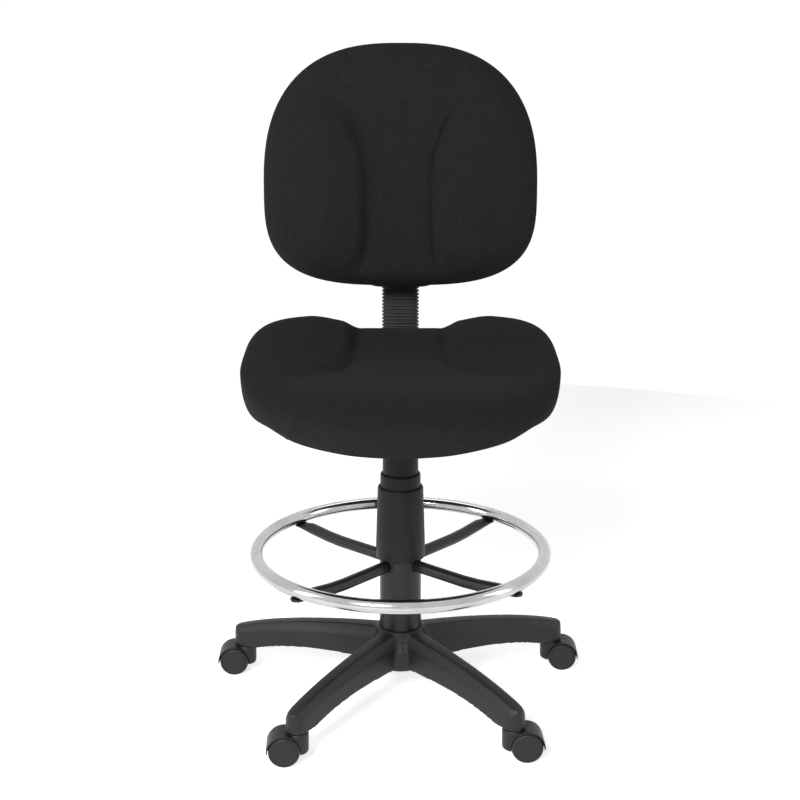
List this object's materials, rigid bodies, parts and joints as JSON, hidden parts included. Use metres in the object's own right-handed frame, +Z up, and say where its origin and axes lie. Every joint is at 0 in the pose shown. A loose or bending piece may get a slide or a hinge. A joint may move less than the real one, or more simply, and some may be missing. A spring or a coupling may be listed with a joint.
{
  "type": "drafting chair",
  "caption": "Armless drafting chair with contoured seat and backrest, gas column, chrome footring and a caster star base.",
  "frame": {"origin": "on the floor, on the axis of the gas column", "axes": "+Z up along the column, the chair faces -Y, +X is towards the left hand of a person sitting in it"},
  "size_m": [0.648, 0.6016, 1.0957],
  "materials": {
    "base_nylon": "fine grained black nylon",
    "wheel_nylon": "smooth black nylon",
    "caster_nylon": "smooth black nylon",
    "bare_steel": "plain turned steel",
    "black_steel": "black powder coat",
    "natural_nylon": "natural nylon",
    "ring_chrome": "polished chrome",
    "cover_plastic": "satin black plastic",
    "seal_rubber": "sealing rubber",
    "plywood": "birch plywood",
    "shell_plastic": "grained black plastic",
    "seat_fabric": "black crepe weave",
    "back_fabric": "black crepe weave",
    "button_plastic": "moulded plastic",
    "boot_rubber": "flexible black vinyl"
  },
  "bodies": {
    "base": {"star_base": "base_nylon", "caster_stems": "bare_steel", "gas_tube": "black_steel", "guide_bush": "natural_nylon"},
    "caster_1": {"caster_hood_1": "caster_nylon", "caster_axle_1": "bare_steel"},
    "right_wheel_1": {"wheel_right_1": "wheel_nylon"},
    "left_wheel_1": {"wheel_left_1": "wheel_nylon"},
    "caster_2": {"caster_hood_2": "caster_nylon", "caster_axle_2": "bare_steel"},
    "right_wheel_2": {"wheel_right_2": "wheel_nylon"},
    "left_wheel_2": {"wheel_left_2": "wheel_nylon"},
    "caster_3": {"caster_hood_3": "caster_nylon", "caster_axle_3": "bare_steel"},
    "right_wheel_3": {"wheel_right_3": "wheel_nylon"},
    "left_wheel_3": {"wheel_left_3": "wheel_nylon"},
    "caster_4": {"caster_hood_4": "caster_nylon", "caster_axle_4": "bare_steel"},
    "right_wheel_4": {"wheel_right_4": "wheel_nylon"},
    "left_wheel_4": {"wheel_left_4": "wheel_nylon"},
    "caster_5": {"caster_hood_5": "caster_nylon", "caster_axle_5": "bare_steel"},
    "right_wheel_5": {"wheel_right_5": "wheel_nylon"},
    "left_wheel_5": {"wheel_left_5": "wheel_nylon"},
    "foot_support": {"ring_sleeve": "black_steel", "sleeve_bushes": "natural_nylon", "footring": "ring_chrome", "footring_spokes": "black_steel", "ring_screws": "bare_steel", "cover_lower": "cover_plastic"},
    "middle_cover": {"cover_middle": "cover_plastic"},
    "piston": {"piston_rod": "bare_steel", "piston_head": "seal_rubber", "thrust_bearing": "bare_steel", "tube_clip": "bare_steel"},
    "seat": {"gas_cylinder": "black_steel", "cover_upper": "cover_plastic", "mechanism_housing": "black_steel", "housing_bolts": "bare_steel", "lever_pin": "bare_steel", "seat_board": "plywood", "seat_shell": "shell_plastic", "seat_cushion": "seat_fabric"},
    "valve": {"valve_button": "button_plastic"},
    "lever": {"lever_rod": "bare_steel", "lever_paddle": "cover_plastic"},
    "depth_clamp": {"depth_knob": "cover_plastic"},
    "back_support": {"back_bar": "black_steel", "bar_boot": "boot_rubber"},
    "backrest": {"back_bracket": "shell_plastic", "bracket_screws": "bare_steel", "back_board": "plywood", "back_shell": "shell_plastic", "back_cushion": "back_fabric"},
    "height_clamp": {"height_knob": "cover_plastic"}
  },
  "joints": [
    {"name": "caster_swivel_1", "type": "hinge", "parent": "base", "child": "caster_1", "pos_m": [-0.01005, 0.28782, 0.05], "axis": [0, 0, 1], "continuous": true},
    {"name": "right_wheel_spin_1", "type": "hinge", "parent": "caster_1", "child": "right_wheel_1", "pos_m": [-0.01005, 0.30883, 0.025], "axis": [-1, 0, 0], "continuous": true},
    {"name": "left_wheel_spin_1", "type": "hinge", "parent": "caster_1", "child": "left_wheel_1", "pos_m": [-0.01005, 0.30883, 0.025], "axis": [-1, 0, 0], "continuous": true},
    {"name": "caster_swivel_2", "type": "hinge", "parent": "base", "child": "caster_2", "pos_m": [-0.27684, 0.07938, 0.05], "axis": [0, 0, 1], "continuous": true},
    {"name": "right_wheel_spin_2", "type": "hinge", "parent": "caster_2", "child": "right_wheel_2", "pos_m": [-0.29783, 0.07865, 0.025], "axis": [0.0349, -0.9994, 0], "continuous": true},
    {"name": "left_wheel_spin_2", "type": "hinge", "parent": "caster_2", "child": "left_wheel_2", "pos_m": [-0.29783, 0.07865, 0.025], "axis": [0.0349, -0.9994, 0], "continuous": true},
    {"name": "caster_swivel_3", "type": "hinge", "parent": "base", "child": "caster_3", "pos_m": [-0.16105, -0.23876, 0.05], "axis": [0, 0, 1], "continuous": true},
    {"name": "right_wheel_spin_3", "type": "hinge", "parent": "caster_3", "child": "right_wheel_3", "pos_m": [-0.18202, -0.23986, 0.025], "axis": [0.0523, -0.9986, 0], "continuous": true},
    {"name": "left_wheel_spin_3", "type": "hinge", "parent": "caster_3", "child": "left_wheel_3", "pos_m": [-0.18202, -0.23986, 0.025], "axis": [0.0523, -0.9986, 0], "continuous": true},
    {"name": "caster_swivel_4", "type": "hinge", "parent": "base", "child": "caster_4", "pos_m": [0.17731, -0.22695, 0.05], "axis": [0, 0, 1], "continuous": true},
    {"name": "right_wheel_spin_4", "type": "hinge", "parent": "caster_4", "child": "right_wheel_4", "pos_m": [0.1983, -0.22621, 0.025], "axis": [-0.0349, 0.9994, 0], "continuous": true},
    {"name": "left_wheel_spin_4", "type": "hinge", "parent": "caster_4", "child": "left_wheel_4", "pos_m": [0.1983, -0.22621, 0.025], "axis": [-0.0349, 0.9994, 0], "continuous": true},
    {"name": "caster_swivel_5", "type": "hinge", "parent": "base", "child": "caster_5", "pos_m": [0.27063, 0.0985, 0.05], "axis": [0, 0, 1], "continuous": true},
    {"name": "right_wheel_spin_5", "type": "hinge", "parent": "caster_5", "child": "right_wheel_5", "pos_m": [0.29162, 0.09777, 0.025], "axis": [0.0349, 0.9994, 0], "continuous": true},
    {"name": "left_wheel_spin_5", "type": "hinge", "parent": "caster_5", "child": "left_wheel_5", "pos_m": [0.29162, 0.09777, 0.025], "axis": [0.0349, 0.9994, 0], "continuous": true},
    {"name": "footring_turn", "type": "hinge", "parent": "base", "child": "foot_support", "pos_m": [0, 0, 0.2], "axis": [0, 0, 1], "continuous": true},
    {"name": "seat_swivel", "type": "hinge", "parent": "base", "child": "piston", "pos_m": [0, 0, 0.09], "axis": [0, 0, 1], "continuous": true},
    {"name": "seat_height", "type": "slide", "parent": "piston", "child": "seat", "axis": [0, 0, 1], "range_m": [0, 0.127]},
    {"name": "cover_slide", "type": "slide", "parent": "base", "child": "middle_cover", "axis": [0, 0, 1], "range_m": [0, 0.0636]},
    {"name": "lever_lift", "type": "hinge", "parent": "seat", "child": "lever", "pos_m": [-0.038, 0, 0.4895], "axis": [0, 1, 0], "range_deg": [0, 5.5], "stiffness_Nm_per_rad": 1.5, "springref_deg": -14.32},
    {"name": "valve_press", "type": "slide", "parent": "seat", "child": "valve", "axis": [0, 0, -1], "range_m": [0, 0.004], "stiffness_N_per_m": 300, "springref_m": -0.002},
    {"name": "back_depth", "type": "slide", "parent": "seat", "child": "back_support", "axis": [0, 1, 0], "range_m": [-0.02, 0.03]},
    {"name": "depth_clamp_turn", "type": "hinge", "parent": "seat", "child": "depth_clamp", "pos_m": [0, 0.1, 0.45], "axis": [0, 0, 1], "range_deg": [0, 330]},
    {"name": "back_height", "type": "slide", "parent": "back_support", "child": "backrest", "axis": [0, 0, 1], "range_m": [0, 0.06], "deforming": ["bar_boot"]},
    {"name": "height_clamp_turn", "type": "hinge", "parent": "backrest", "child": "height_clamp", "pos_m": [0, 0.29, 0.745], "axis": [0, 1, 0], "range_deg": [0, 330]}
  ],
  "couplings": [
    {"joint": "cover_slide", "follows": "seat_height", "ratio": 0.5},
    {"joint": "valve_press", "follows": "lever_lift", "m_per_rad": 0.038}
  ]
}
